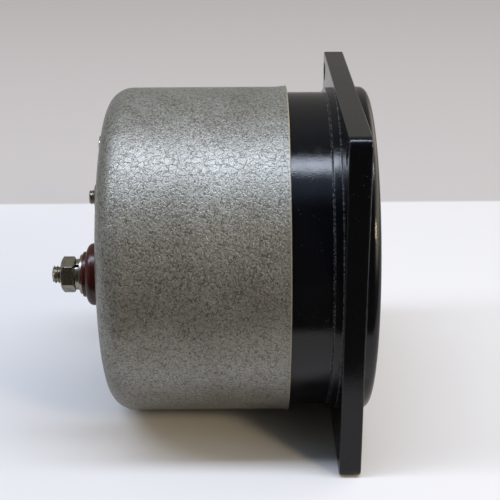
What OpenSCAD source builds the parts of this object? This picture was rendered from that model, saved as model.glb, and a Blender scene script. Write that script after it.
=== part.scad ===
// Analog panel meter: moving-coil movement in a moulded housing with a drawn steel can.
// The dial faces -Y, the terminals face +Y and +Z is up. The origin lies on the meter's
// axis, in the plane of the flange's rear face, which is the face that meets the panel.

/* [Housing] */
// Outer radius of the body tube
tube_r = 37.9; // [36:0.1:46]
// Wall of the body tube
tube_wall = 2.2; // [1.6:0.1:2.6]
// Width of the square flange beyond the tube, each way
flange_over = 2.1; // [1.6:0.1:10]
// Thickness of the flange
flange_t = 4.9; // [3:0.1:8]
// Radius of the flange's corners
flange_corner_r = 2.2; // [1:0.1:4]
// Chamfer along the flange's front edges
flange_chamfer = 0.4; // [0.1:0.1:1]
// Distance of the panel screw holes from the flange's edges
hole_in = 4.6; // [3.6:0.1:6]
// Diameter of the panel screw holes
hole_d = 4.5; // [3:0.1:4.8]
// Radius of the round rim beyond the tube
rim_over = 1.27; // [1.2:0.01:2]
// Height of the round rim in front of the flange
rim_proud = 3.1; // [1.5:0.1:6]
// Rounding of the rim's front edge
rim_edge_r = 1.8; // [0.5:0.1:2]
// Radius of the collar beyond the tube
collar_over = 1.1; // [0.5:0.1:1.6]
// Height of the collar behind the flange
collar_h = 2; // [1:0.1:4]
// Thickness of the front lip and apron
lip_t = 2.2; // [1.8:0.1:3]
// Width of the lip inside the cavity
lip_in = 2.2; // [1.7:0.1:4]
// Bevel round the window
window_bevel = 0.8; // [0.3:0.1:1.2]
// Height of the apron's straight edge above the pointer's axis
apron_up = 7; // [6:0.1:8]

/* [Can] */
// Gap between the can and the body tube
can_gap = 0.5; // [0.3:0.1:1]
// Sheet thickness of the can
can_wall = 0.8; // [0.5:0.1:1]
// Distance from the flange to the can's rim
can_front = 11; // [6:0.5:16]
// Distance from the flange to the can's rear face
can_rear = 53.4; // [50:0.1:70]
// Outer radius of the can's rear edge
can_edge_r = 5.9; // [3:0.1:8]
// Flare of the can's rim
can_flare = 0.3; // [0:0.1:0.5]
// Distance of the can screws inside the circle of the base screws
can_screw_in = 6.6; // [6:0.1:8]

/* [Terminals] */
// Spacing of the two terminals
terminal_spacing = 50; // [44:0.5:54]
// Height of the terminals above the axis
terminal_z = 4.4; // [0:0.1:8]
// Thread diameter of the studs
stud_d = 4; // [3:0.1:4.8]
// Length of the left stud from the can's rear face
stud_out = 10.4; // [9.6:0.1:16]
// Depth of the thread, from its crest to its pitch radius
thread_in = 0.23; // [0.15:0.01:0.3]
// Width across flats of the terminal nuts
nut_af = 7; // [6.6:0.1:8]
// Turn of the nuts about their studs, in degrees
nut_turn = 17; // [0:1:30]
// Height of the terminal nuts
nut_h = 3.2; // [2.4:0.1:3.4]
// Diameter of the bush's flange
bush_d = 13.9; // [12:0.1:16]
// Height of the bush's flange
bush_h = 2.6; // [1.8:0.1:4]
// Rounding of the bush's flange
bush_edge_r = 1.4; // [0.3:0.1:1.6]
// Diameter of the bush's upper step
bush_step_d = 10.1; // [9:0.1:11.5]
// Height of the bush's upper step
bush_step_h = 1; // [0.5:0.1:1.5]

/* [Movement] */
// Radius of the soft iron core
core_r = 7; // [6:0.1:9]
// Length of the core and pole pieces
core_len = 12; // [8:0.1:16]
// Width of the magnetic gap
air_gap = 2; // [1.9:0.05:2.2]
// Thickness of the pole pieces
pole_wall = 4.4; // [4:0.1:5]
// Thickness of the ring magnet
magnet_wall = 5.1; // [3.5:0.1:6]
// Clearance between the magnet and the wall of the housing
magnet_clear = 3.2; // [2:0.1:4]
// Clearance of the pointer's tip inside the window, at zero and at full scale
tip_in = 6.05; // [5:0.05:12]
// Swing of the pointer from zero to full scale, in degrees
swing_deg = 90; // [60:1:90]
// Turns of each hairspring
spring_turns = 3; // [2:1:4]

/* [Zero corrector] */
// Distance from the pointer's axis to the corrector's axis
corrector_drop = 11.5; // [11:0.1:12]
// Eccentricity of the corrector's pin
corrector_ecc = 1.5; // [1:0.1:1.6]
// Diameter of the corrector's slotted head
corrector_head_d = 6.4; // [5.6:0.1:8]

/* [Clearances] */
// Radial clearance of a fixed pin or screw in its hole
fit_gap = 0.03; // [0.02:0.01:0.05]
// Radial clearance of a turning fit
run_gap = 0.05; // [0.03:0.01:0.08]
// Clearance between the glass, dial or base plate and the wall round it
seat_gap = 0.4; // [0.2:0.1:0.6]

/* [Hidden] */
$fn = 96;
tiny = 0.01;

// Widths that follow the body tube.
flange_w = 2 * (tube_r + flange_over);
hole_spacing = flange_w - 2 * hole_in;
rim_r = tube_r + rim_over;
collar_r = tube_r + collar_over;
cavity_r = tube_r - tube_wall;
window_r = cavity_r - lip_in;
can_r = tube_r + can_gap + can_wall;

// The magnet system, from the core outwards, which sets the pointer's axis.
gap_r = core_r + air_gap;
pole_r = gap_r + pole_wall;
pole_mid_r = (gap_r + pole_r) / 2;
magnet_r = pole_r + magnet_wall;
pivot_z = magnet_r + magnet_clear - cavity_r;
apron_z = pivot_z + apron_up;
rest_deg = -swing_deg / 2;

// The pointer's length puts its tip tip_in inside the window at both ends of the scale.
pointer_len = sqrt(pow(window_r - tip_in, 2) - pow(pivot_z * sin(rest_deg), 2))
    - pivot_z * cos(rest_deg);

// Places along the meter's axis, from the front to the rear.
front_y = -flange_t - rim_proud;
lip_y = front_y + lip_t;
glass_t = 2;
glass_y = lip_y + glass_t;
glass_tuck = 2.2;
seal_t = 1.2;
dial_t = 0.6;
dial_room = 3.96;
dial_y = glass_y + dial_room;
dial_in = 0.5;
dial_tuck = 1.6;
can_inside = can_rear - can_wall;

// Places in the movement, counted from the dial's rear face.
core_room = 3.7;
core_y = dial_y + dial_t + core_room;
core_end = core_y + core_len;
former_t = 0.3;
winding_t = 0.8;
end_gap = 0.9;
side_gap = 0.35;
former_half = core_r + side_gap;
former_w = 4.6;
winding_w = 3.8;
coil_y = core_y - end_gap - former_t - winding_t;
coil_end = core_end + end_gap + former_t + winding_t;
pole_half_deg = 62;
post_deg = 42;
post_r = 2;

// Bridges and bearings.
bridge_t = 1.2;
bridge_half_z = 3.2;
bridge_front = 4.6;
bridge_y = dial_y - bridge_front;
bridge_back = bridge_y + bridge_t;
leg_w = 3.4;
leg_half_z = 2.6;
rear_room = 2.9;
rear_bridge_y = coil_end + rear_room;
rear_bridge_end = rear_bridge_y + bridge_t;
plate_room = 1.4;
plate_y = rear_bridge_end + plate_room;
plate_t = 3;
plate_back = plate_y + plate_t;
jewel_r = 1.5;
jewel_hole_r = 0.26;
pivot_r = 0.2;
shaft_r = 0.5;
collet_r = 1;
screw_m2_r = 0.9;
screw_m2_head = [1.7, 0.8];
screw_m3_r = 1.5;
screw_m3_head = [2.75, 1.8];

// Pointer, springs and zero lever.
lever_gap = 0.1;
lever_y = bridge_back + lever_gap;
lever_t = 0.5;
jewel_nose_y = lever_y + lever_t + lever_gap;
hub_front = 1.6;
hub_y = dial_y - hub_front;
hub_t = 0.6;
hub_r = 1.7;
blade_t = 0.3;
blade_root = 1.6;
blade_tip = 0.36;
taper_len = 1.5;
arm_w = 0.7;
arm_from = 1.2;
spring_front = 0.9;
spring_y = hub_y - spring_front;
spring_h = 0.5;
spring_w = 0.14;
spring_in = collet_r + 0.12;
spring_out = 4.2;
anchor_at = 4.72;
anchor_r = 0.35;
arm_len = 7.4;
weight_len = 1.9;
weight_r = 0.85;
weight_hole = 0.5;
lever_r = 3.2;
lever_w = 3;
stop_in = 11.5;
stop_at = pointer_len - stop_in;
stop_r = 0.4;
stop_deg = swing_deg / 2 + 5.6;
pin_r = 0.5;
corrector_r = 2.5;
fork_slot = pin_r + 0.15;

// Dial supports and base plate screws.
pillar_in = 9.7;
pillar_up = 18;
dial_pillar = [cavity_r - pillar_in, pivot_z + pillar_up];
dial_pillar_r = 2.5;
dial_screw_r = 1;
dial_screw_head = [1.9, 1];
lug_in = 3.1;
lug_at = cavity_r - lug_in;
lug_r = 3.4;
lug_h = 8;
lug_degs = [90, 210, 330];
screw_base_r = 1.25;
screw_base_head = [2.3, 1.4];

// Can pillars, and the resistor bobbin below the upper one.
can_screw_at = lug_at - can_screw_in;
can_pillar_af = 6;
bobbin_in = 14;
bobbin_z = can_screw_at - bobbin_in;
bobbin_core_r = 3;
coil_wire_r = 5.6;
bobbin_r = 6.5;
bobbin_len = 14;
bobbin_flange = 1.2;

// Terminals, from the inside out.
side_x = terminal_spacing / 2;
stud_r = stud_d / 2;
stud_point = 0.4;
thread_r = stud_r - thread_in;
thread_gap = 0.2;
stud_hole = stud_r + 0.1;
bush_spigot_r = stud_hole + 2.1;
washer_r = stud_hole + 2.3;
spring_washer_r = stud_hole + 1.35;
split_w = 0.6;
split_turn = -34;
tag_r = stud_hole + 1.9;
tag_w = 3;
tag_len = 10;
tag_hole_at = 8.2;
tag_hole_r = 0.8;
tag_t = 0.4;
stud_head_h = 2.4;
washer_t = 0.6;
spring_washer_t = 1;
washer_y = can_rear + bush_h + bush_step_h;
function inner_bush_t(side) = side < 0 ? 2 : 3.5;
function tag_y(side) = can_inside - inner_bush_t(side) - tag_t;
function nut_y(side) = washer_y + washer_t + (side < 0 ? spring_washer_t : 0);
function free_y(side) = nut_y(side) + nut_h + thread_gap;
function stud_end(side) = can_rear + stud_out - inner_bush_t(side) + inner_bush_t(-1);

// Turns local Z to the meter's +Y and starts at the given place along it.
module rearward(y) translate([0, y, 0]) rotate([-90, 0, 0]) children();

// Moves to a point given across the meter, as X and Z.
module at(x, z) translate([x, 0, z]) children();

// Moves to the pointer's axis.
module at_pivot() at(0, pivot_z) children();

// Moves to the pointer's axis and turns to the pointer's place at zero.
module at_rest() at_pivot() rotate([0, rest_deg, 0]) children();

// A round bar along Y, from one place to another.
module bar(r, y0, y1) rearward(y0) cylinder(r = r, h = y1 - y0);

// A washer or sleeve along Y.
module ring(r_out, r_in, y0, y1) difference() {
    bar(r_out, y0, y1);
    bar(r_in, y0 - 1, y1 + 1);
}

// A hexagonal bar along Y, with its flats facing left and right.
module hex_bar(af, y0, y1, turn = 0) rotate([0, turn, 0]) rearward(y0) rotate(30)
    cylinder(r = af / sqrt(3), h = y1 - y0, $fn = 6);

// A slotted cheese-head screw along +Y from the seat of its head.
module screw(r, head, seat_y, length, away = -1) difference() {
    union() {
        bar(r, min(seat_y, seat_y - away * length), max(seat_y, seat_y - away * length));
        bar(head[0], min(seat_y, seat_y + away * head[1]), max(seat_y, seat_y + away * head[1]));
    }
    translate([0, seat_y + away * head[1], 0])
        cube([2 * head[0] + 1, head[1], 0.3 * head[0]], center = true);
}

// A flat rectangle with rounded corners, centred.
module rounded_rect(w, h, r) {
    square([w - 2 * r, h], center = true);
    square([w, h - 2 * r], center = true);
    for (x = [-1, 1], y = [-1, 1]) translate([x * (w / 2 - r), y * (h / 2 - r)]) circle(r);
}

// A round plate with its lower part cut off straight, drawn in the X-Z plane.
module dee(r, cut_z) intersection() {
    circle(r);
    translate([-r - 1, -r - 1]) square([2 * r + 2, r + 1 - cut_z]);
}

// A plate of a flat outline, standing from one place on Y to another.
module slab(y0, y1) rearward(y0) linear_extrude(y1 - y0) children();

// ---- Housing ----

module housing_turned() rearward(0) rotate_extrude() {
    // The front rim, with a rounded edge
    translate([0, front_y]) square([rim_r - rim_edge_r, -front_y]);
    translate([0, front_y + rim_edge_r]) square([rim_r, -front_y - rim_edge_r]);
    translate([rim_r - rim_edge_r, front_y + rim_edge_r]) circle(rim_edge_r);
    // The collar and the body tube
    translate([0, -1]) square([collar_r, 1 + collar_h]);
    square([tube_r, plate_y]);
}

module flange() difference() {
    slab(-flange_t, 0) rounded_rect(flange_w, flange_w, flange_corner_r);
    for (a = [0:90:270]) rotate([0, a, 0]) translate([0, -flange_t, flange_w / 2])
        rotate([45, 0, 0])
            cube([flange_w + 2, flange_chamfer * sqrt(2), flange_chamfer * sqrt(2)], center = true);
    for (x = [-1, 1], z = [-1, 1]) at(x * hole_spacing / 2, z * hole_spacing / 2)
        bar(hole_d / 2, -flange_t - 1, 1);
}

module lug_places() for (a = lug_degs) rotate([0, -a, 0]) translate([lug_at, 0, 0]) children();

module housing() color("#14161a") difference() {
    union() {
        difference() {
            union() {
                housing_turned();
                flange();
            }
            bar(cavity_r, lip_y, plate_y + 1);
        }
        intersection() {
            lug_places() bar(lug_r, plate_y - lug_h, plate_y);
            bar(tube_r - 0.5, 0, plate_y);
        }
    }
    slab(front_y - 1, lip_y + 1) dee(window_r, apron_z);
    // The bevel round the window
    intersection() {
        rearward(front_y)
            cylinder(r1 = window_r + window_bevel, r2 = window_r, h = window_bevel);
        translate([-flange_w, front_y - 1, apron_z]) cube(2 * flange_w);
    }
    lug_places() bar(screw_base_r + fit_gap, plate_y - lug_h + 1, plate_y + 1);
    at(0, pivot_z - corrector_drop) bar(corrector_r + run_gap, front_y - 1, lip_y + 1);
}

// ---- Window and dial ----

module window_glass() color([0.8, 0.9, 0.9, 0.35])
    slab(lip_y, glass_y) dee(cavity_r - seat_gap, apron_z - glass_tuck);

module glass_seal() color("#2a2a2a") slab(glass_y, glass_y + seal_t) difference() {
    dee(cavity_r - seat_gap / 2, apron_z - glass_tuck);
    dee(window_r, apron_z);
}

module dial_plate() color("#f2efe6") difference() {
    slab(dial_y, dial_y + dial_t) dee(cavity_r - seat_gap - dial_in, apron_z - dial_tuck);
    for (s = [-1, 1]) at(s * dial_pillar[0], dial_pillar[1])
        bar(dial_screw_r + 2 * fit_gap, dial_y - 1, dial_y + 2);
    stop_places() bar(stop_r + fit_gap, dial_y - 1, dial_y + 2);
}

module dial_screws() color("#c9c6bd") for (s = [-1, 1])
    at(s * dial_pillar[0], dial_pillar[1]) screw(dial_screw_r, dial_screw_head, dial_y, 5);

module dial_pillars() color("#b8974a") for (s = [-1, 1])
    at(s * dial_pillar[0], dial_pillar[1]) difference() {
        union() {
            bar(dial_pillar_r, dial_y + dial_t, plate_y);
            bar(screw_m3_r, plate_y - tiny, plate_back - 0.2);
        }
        bar(dial_screw_r + fit_gap, dial_y, dial_y + 6.5);
    }

module stop_places() at_pivot() for (s = [-1, 1])
    rotate([0, s * stop_deg, 0]) translate([0, 0, stop_at]) children();

module pointer_stops() color("#3a3a3a") stop_places() bar(stop_r, dial_y - 2.4, dial_y + dial_t);

// ---- Base plate ----

module post_places() at_pivot() for (side = [0, 180], s = [-1, 1])
    rotate([0, side + s * post_deg, 0]) translate([pole_mid_r, 0, 0]) children();

module base_plate() color("#4a2a1c") difference() {
    union() {
        bar(tube_r - 0.3, plate_y, plate_back);
        post_places() bar(post_r, core_end, plate_y + tiny);
    }
    lug_places() bar(screw_base_r + 0.15, plate_y - 1, plate_back + 1);
    post_places() bar(screw_m2_r + fit_gap, core_end - 1, plate_back + 1);
    for (s = [-1, 1]) at(s * dial_pillar[0], dial_pillar[1])
        bar(screw_m3_r + fit_gap, plate_y - 1, plate_back + 1);
    for (s = [-1, 1]) at(0, s * can_screw_at)
        bar(screw_m3_r + fit_gap, plate_y - 1, plate_back + 1);
    // A way to the rear jewel screw
    at_pivot() bar(3, plate_y - 1, plate_back + 1);
    at(0, pivot_z + bracket_foot_at) bar(screw_m2_r + fit_gap, plate_y - 1, plate_back + 1);
    at(0, bobbin_z) bar(screw_base_r + fit_gap, plate_y - 1, plate_back + 1);
}

module base_screws() color("#c9c6bd") lug_places()
    screw(screw_base_r, screw_base_head, plate_back, plate_t + 6, away = 1);

// ---- Magnet system ----

// A wedge about the X axis, for one pole piece.
module wedge(r, half_deg) polygon([[0, 0], 2 * r * [cos(half_deg), sin(half_deg)],
    [2 * r, 0], 2 * r * [cos(half_deg), -sin(half_deg)]]);

module pole_piece(side) at_pivot() difference() {
    slab(core_y, core_end) difference() {
        intersection() {
            circle(pole_r);
            mirror([side < 0 ? 1 : 0, 0]) wedge(pole_r, pole_half_deg);
        }
        circle(gap_r);
    }
    for (s = [-1, 1]) rotate([0, s * post_deg, 0]) translate([side * pole_mid_r, 0, 0])
        bar(screw_m2_r + fit_gap, core_end - 4.5, core_end + 1);
    translate([side * pole_mid_r, 0, 0]) {
        bar(screw_m2_r + fit_gap, core_y - 1, core_y + 4);
        bar(screw_m2_r + fit_gap, core_end - 4.5, core_end + 1);
    }
}

module pole_piece_left() color("#6f7277") pole_piece(-1);
module pole_piece_right() color("#6f7277") pole_piece(1);

module magnet() color("#55585c") at_pivot() slab(core_y, core_end) difference() {
    circle(magnet_r);
    circle(pole_r + run_gap);
    translate([-5, -magnet_r - 1]) square([10, magnet_r]);
}

module pole_screws() color("#c9c6bd") post_places()
    screw(screw_m2_r, screw_m2_head, plate_back, plate_back - core_end + 4, away = 1);

bracket_in = gap_r + 0.3;
bracket_t = 1.4;
bracket_foot_at = bracket_in + 4;

// The bracket stands above the core, in the gap between the pole pieces
module at_bracket() at_pivot() rotate([0, 180, 0]) children();

module core() color("#7b7e83") at_bracket() difference() {
    bar(core_r, core_y, core_end);
    core_screw_place() cylinder(r = screw_m2_r + fit_gap, h = 20);
}

// The screw that draws the core to its bracket.
module core_screw_place() translate([0, core_end - 4, -bracket_in - bracket_t]) children();

// A strap beside the coil's swing that carries the core from the base plate
module core_bracket() color("#b8974a") at_bracket() difference() {
    union() {
        translate([-2, core_end - 7, -bracket_in - bracket_t])
            cube([4, plate_y - core_end + 7, bracket_t]);
        intersection() {
            translate([-2, core_end - 7, -bracket_in - tiny]) cube([4, 6, 3.2]);
            ring(bracket_in + 1, core_r + fit_gap, core_end - 8, core_end);
        }
        translate([-2, plate_y - bracket_t, -bracket_foot_at - 2.4])
            cube([4, bracket_t, bracket_foot_at + 2.4 - bracket_in]);
    }
    core_screw_place() translate([0, 0, -1]) cylinder(r = screw_m2_r + fit_gap, h = 20);
    translate([0, 0, -bracket_foot_at]) bar(screw_m2_r + fit_gap, plate_y - 3, plate_y + 1);
}

module core_screws() color("#c9c6bd") at_bracket() {
    core_screw_place() {
        cylinder(r = screw_m2_r, h = 6.5);
        translate([0, 0, -screw_m2_head[1]]) cylinder(r = screw_m2_head[0], h = screw_m2_head[1]);
    }
    translate([0, 0, -bracket_foot_at])
        screw(screw_m2_r, screw_m2_head, plate_y - bracket_t, bracket_t + plate_t - 0.5);
}

// ---- Bridges and bearings ----

module bridge_bar() rounded_rect(2 * pole_mid_r + leg_w, 2 * bridge_half_z, 1);

// A bridge with two legs that stand on the pole pieces
module bridge(face_y, back_y, foot_y) at_pivot() difference() {
    union() {
        slab(min(face_y, back_y), max(face_y, back_y)) bridge_bar();
        for (s = [-1, 1])
            translate([s * pole_mid_r - leg_w / 2, min(foot_y, face_y), -leg_half_z])
                cube([leg_w, abs(foot_y - face_y), 2 * leg_half_z]);
    }
    bar(jewel_r + fit_gap, face_y - 5, face_y + 5);
    for (s = [-1, 1]) translate([s * pole_mid_r, 0, 0])
        bar(screw_m2_r + fit_gap, min(face_y, foot_y) - 5, max(face_y, foot_y) + 5);
}

module front_bridge() color("#c2a35a") bridge(bridge_y, bridge_back, core_y);
module rear_bridge() color("#c2a35a") bridge(rear_bridge_end, rear_bridge_y, core_end);

module bridge_screws() color("#c9c6bd") at_pivot() for (s = [-1, 1])
    translate([s * pole_mid_r, 0, 0]) {
        screw(screw_m2_r, screw_m2_head, bridge_y, core_y - bridge_y + 3.5);
        screw(screw_m2_r, screw_m2_head, rear_bridge_end, rear_bridge_end - core_end + 4,
            away = 1);
    }

module front_jewel_screw() color("#d8c48a") at_pivot() difference() {
    bar(jewel_r, bridge_y - 0.9, jewel_nose_y);
    bar(jewel_hole_r, jewel_nose_y - 1, jewel_nose_y + 1);
    translate([0, bridge_y - 0.9, 0]) cube([4, 0.8, 0.5], center = true);
}

rear_nose_y = rear_bridge_y - 0.5;

module rear_jewel_screw() color("#d8c48a") at_pivot() difference() {
    bar(jewel_r, rear_nose_y, rear_bridge_end + 1);
    bar(jewel_hole_r, rear_nose_y - 1, rear_nose_y + 1);
    translate([0, rear_bridge_end + 1, 0]) cube([4, 0.8, 0.5], center = true);
}

// The fixed end of the rear hairspring
module spring_anchor() color("#c2a35a") at_pivot() {
    ring(lever_r, jewel_r + fit_gap, rear_bridge_y - 0.45, rear_bridge_y);
    spring_arm(rear_bridge_y - 0.45, rear_bridge_y);
    translate([-anchor_at, 0, 0]) bar(anchor_r, rear_spring_y - 0.1, rear_bridge_y - 0.2);
}

// An arm from a ring to the end of a hairspring
module spring_arm(y0, y1) translate([-anchor_at - 0.6, y0, -0.7])
    cube([anchor_at + 0.6 - 2.6, y1 - y0, 1.4]);

// ---- Moving coil ----

module coil_loop(half_x, y0, y1, w, t) translate([0, 0, -w / 2]) linear_extrude(w)
    translate([0, (y0 + y1) / 2]) difference() {
        rounded_rect(2 * half_x, y1 - y0, t + 0.4);
        rounded_rect(2 * (half_x - t), y1 - y0 - 2 * t, 0.4);
    }

module coil_former() color("#b9bcc0") at_rest()
    coil_loop(former_half + former_t, coil_y + winding_t, coil_end - winding_t,
        former_w, former_t);

module coil_winding() color("#a4562a") at_rest() difference() {
    coil_loop(former_half + former_t + winding_t, coil_y, coil_end, winding_w, winding_t);
    translate([0, 0, -winding_w]) linear_extrude(2 * winding_w)
        translate([0, (coil_y + coil_end) / 2])
            rounded_rect(2 * (former_half + former_t) + 2 * tiny,
                coil_end - coil_y - 2 * winding_t + 2 * tiny, former_t + 0.4);
}

module front_shaft() color("#9a9da1") at_pivot() {
    bar(1.8, coil_y - 0.4, coil_y);
    bar(shaft_r, spring_y - 0.1, coil_y - 0.4 + tiny);
    bar(collet_r, spring_y - 0.1, hub_y);
    bar(pivot_r, jewel_nose_y - 0.5, spring_y);
}

rear_spring_y = coil_end + 1.2;

module rear_shaft() color("#9a9da1") at_pivot() {
    bar(1.8, coil_end, coil_end + 0.4);
    bar(shaft_r, coil_end + 0.4 - tiny, rear_nose_y - 0.2);
    bar(collet_r, rear_spring_y - 0.1, rear_spring_y + spring_h + 0.1);
    bar(pivot_r, rear_nose_y - 0.3, rear_nose_y + 0.5);
}

// The blade tapers from its hub to the tip; the tail and arms carry the weights
module pointer() color("#1c1c1e") at_rest() {
    ring(hub_r, shaft_r + fit_gap, hub_y, hub_y + hub_t);
    slab(hub_y + (hub_t - blade_t) / 2, hub_y + (hub_t + blade_t) / 2) difference() {
        union() {
            polygon([[-blade_root / 2, -arm_from], [-blade_tip / 2, taper_len - pointer_len],
                [0, -pointer_len], [blade_tip / 2, taper_len - pointer_len],
                [blade_root / 2, -arm_from]]);
            translate([-arm_w / 2, arm_from]) square([arm_w, arm_len - arm_from]);
            for (s = [-1, 1]) translate([s * (arm_len + arm_from) / 2, 0])
                square([arm_len - arm_from, arm_w], center = true);
        }
        circle(hub_r - 0.2);
    }
}

// Coils of wire slid along the tail and arms to balance the pointer
module balance_weights() color("#b08d3c") at_rest() translate([0, hub_y + hub_t / 2, 0])
    for (a = [0, 90, 180]) rotate([0, a, 0]) translate([arm_len - weight_len - 0.1, 0, 0])
        rotate([0, 90, 0])
        difference() {
            cylinder(r = weight_r, h = weight_len);
            translate([0, 0, -1]) cylinder(r = weight_hole, h = weight_len + 2);
        }

// ---- Hairsprings ----

function spiral_r(t) = spring_in + (spring_out - spring_in) * t;
function spiral_point(t, side) = (spiral_r(t) + side * spring_w / 2)
    * [cos(180 + 360 * spring_turns * (t - 1)), sin(180 + 360 * spring_turns * (t - 1))];
spiral_steps = 24 * spring_turns;

module hairspring(y0) at_pivot() slab(y0, y0 + spring_h) polygon(concat(
    [for (i = [0:spiral_steps]) spiral_point(i / spiral_steps, 1)],
    [for (i = [spiral_steps:-1:0]) spiral_point(i / spiral_steps, -1)]));

module front_hairspring() color("#c79a4a") hairspring(spring_y);
module rear_hairspring() color("#c79a4a") hairspring(rear_spring_y);

// ---- Zero corrector ----

module zero_lever() color("#c2a35a") at_pivot() {
    difference() {
        union() {
            ring(lever_r, jewel_r + run_gap, lever_y, lever_y + lever_t);
            translate([-lever_w / 2, lever_y, -corrector_drop - 0.8])
                cube([lever_w, lever_t, corrector_drop + 0.8 - 2.6]);
        }
        translate([-fork_slot, lever_y - 1, -corrector_drop - 2])
            cube([2 * fork_slot, lever_t + 2, corrector_ecc + 3.1]);
    }
    spring_arm(lever_y, lever_y + lever_t);
    translate([-anchor_at, 0, 0]) bar(anchor_r, lever_y + 0.2, spring_y + spring_h + 0.1);
}

module corrector_screw() color("#1b1c1f") at(0, pivot_z - corrector_drop) {
    difference() {
        union() {
            bar(corrector_head_d / 2, front_y - 1.05, front_y - 0.05);
            bar(corrector_r, front_y - 0.1, lip_y + 0.6);
            bar(corrector_r + 0.4, lip_y + 0.1, lip_y + 0.6);
        }
        translate([0, front_y - 1.05, 0]) cube([corrector_head_d + 1, 1.2, 1], center = true);
    }
    translate([0, 0, corrector_ecc]) bar(pin_r, lip_y + 0.5, lever_y + lever_t + 0.3);
}

// ---- Series resistor ----

module resistor_bobbin() color("#5a3220") at(0, bobbin_z) difference() {
    union() {
        bar(bobbin_r, plate_back, plate_back + bobbin_flange);
        bar(bobbin_core_r, plate_back, plate_back + bobbin_len);
        bar(bobbin_r, plate_back + bobbin_len - bobbin_flange, plate_back + bobbin_len);
    }
    bar(screw_base_r + 0.15, plate_back - 1, plate_back + bobbin_len + 1);
}

module resistor_winding() color("#7a3d1e") at(0, bobbin_z)
    ring(coil_wire_r, bobbin_core_r + fit_gap, plate_back + bobbin_flange + fit_gap,
        plate_back + bobbin_len - bobbin_flange - fit_gap);

module resistor_screw() color("#c9c6bd") at(0, bobbin_z)
    screw(screw_base_r, screw_base_head, plate_back + bobbin_len, bobbin_len + plate_t - 0.3,
        away = 1);

// ---- Can ----

module can_pillars() color("#b8974a") for (s = [-1, 1]) at(0, s * can_screw_at) difference() {
    union() {
        hex_bar(can_pillar_af, plate_back, can_inside);
        bar(screw_m3_r, plate_y + 0.2, plate_back + tiny);
    }
    bar(screw_m3_r + fit_gap, can_inside - 9, can_inside + 1);
}

// The outline of a drawn cup, as a radius across and a length along the axis
module cup_outline(r, y0, y1, edge) intersection() {
    union() {
        translate([0, y0]) square([r, y1 - edge - y0]);
        translate([0, y0]) square([r - edge, y1 - y0]);
        translate([r - edge, y1 - edge]) circle(edge);
    }
    translate([0, y0]) square([r, y1 - y0]);
}

flare_len = 2.5;

// The cup's outline with a rim that flares over its last stretch
module flared_outline(r, y0, y1, edge) {
    cup_outline(r, can_front + flare_len, y1, edge);
    polygon([[0, y0], [r + can_flare, y0], [r + can_flare, can_front],
        [r, can_front + flare_len], [r, can_front + 2 * flare_len],
        [0, can_front + 2 * flare_len]]);
}

module can_shell() rearward(0) rotate_extrude() difference() {
    flared_outline(can_r, can_front, can_rear, can_edge_r);
    flared_outline(can_r - can_wall, can_front - 1, can_inside, can_edge_r - can_wall);
}

module can() color("#8b8d88") difference() {
    can_shell();
    for (s = [-1, 1]) {
        at(s * side_x, terminal_z) bar(bush_spigot_r + 0.1, can_inside - 2, can_rear + 1);
        at(0, s * can_screw_at) bar(screw_m3_r + 0.15, can_inside - 2, can_rear + 1);
    }
}

module can_screws() color("#b9b6ae") for (s = [-1, 1]) at(0, s * can_screw_at)
    screw(screw_m3_r, screw_m3_head, can_rear, can_wall + 7, away = 1);

// ---- Terminals ----

module at_terminal(side) at(side * side_x, terminal_z) children();

module stud(side) at_terminal(side) {
    hex_bar(nut_af, tag_y(side) - stud_head_h, tag_y(side));
    bar(stud_r, tag_y(side) - tiny, washer_y);
    // Inside the nut the thread is drawn at its pitch radius
    bar(thread_r, washer_y - tiny, free_y(side) + tiny);
    bar(stud_r, free_y(side), stud_end(side) - stud_point);
    rearward(stud_end(side) - stud_point)
        cylinder(r1 = stud_r, r2 = stud_r - stud_point, h = stud_point);
}

module outer_bush(side) at_terminal(side) difference() {
    union() {
        bar(bush_spigot_r, can_rear - can_wall + 0.1, can_rear + tiny);
        rearward(can_rear) rotate_extrude() cup_outline(bush_d / 2, 0, bush_h, bush_edge_r);
        bar(bush_step_d / 2, can_rear, washer_y);
    }
    bar(stud_hole, can_inside - 1, washer_y + 1);
}

module inner_bush(side) at_terminal(side)
    ring(bush_d / 2 - 0.5, stud_hole, can_inside - inner_bush_t(side), can_inside);

// A ring under the stud's head, with a tail for the lead
module solder_tag(side) at_terminal(side) slab(tag_y(side), tag_y(side) + tag_t) difference() {
    union() {
        circle(tag_r);
        translate([-tag_w / 2, 0]) square([tag_w, tag_len]);
    }
    circle(stud_hole);
    translate([0, tag_hole_at]) circle(tag_hole_r);
}

module washer(side) at_terminal(side) ring(washer_r, stud_hole, washer_y, washer_y + washer_t);

module nut(side) at_terminal(side) difference() {
    hex_bar(nut_af, nut_y(side), nut_y(side) + nut_h, nut_turn);
    bar(thread_r + fit_gap, nut_y(side) - 1, nut_y(side) + nut_h + 1);
}

module spring_washer() color("#a8a49a") at_terminal(-1) difference() {
    ring(spring_washer_r, stud_hole, washer_y + washer_t, nut_y(-1));
    rotate([0, split_turn, 0]) translate([-split_w / 2, washer_y, 0])
        cube([split_w, 2 * spring_washer_t, 2 * spring_washer_r]);
}

module stud_left() color("#a8a49a") stud(-1);
module stud_right() color("#a8a49a") stud(1);
module outer_bush_left() color("#5d2b20") outer_bush(-1);
module outer_bush_right() color("#5d2b20") outer_bush(1);
module inner_bush_left() color("#5d2b20") inner_bush(-1);
module inner_bush_right() color("#5d2b20") inner_bush(1);
module solder_tag_left() color("#c8c4b4") solder_tag(-1);
module solder_tag_right() color("#c8c4b4") solder_tag(1);
module washer_left() color("#a8a49a") washer(-1);
module washer_right() color("#a8a49a") washer(1);
module nut_left() color("#a8a49a") nut(-1);
module nut_right() color("#a8a49a") nut(1);

// ---- Leads ----

lead_r = 0.7;
lead_rings = 14;
lead_sides = 8;

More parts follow.
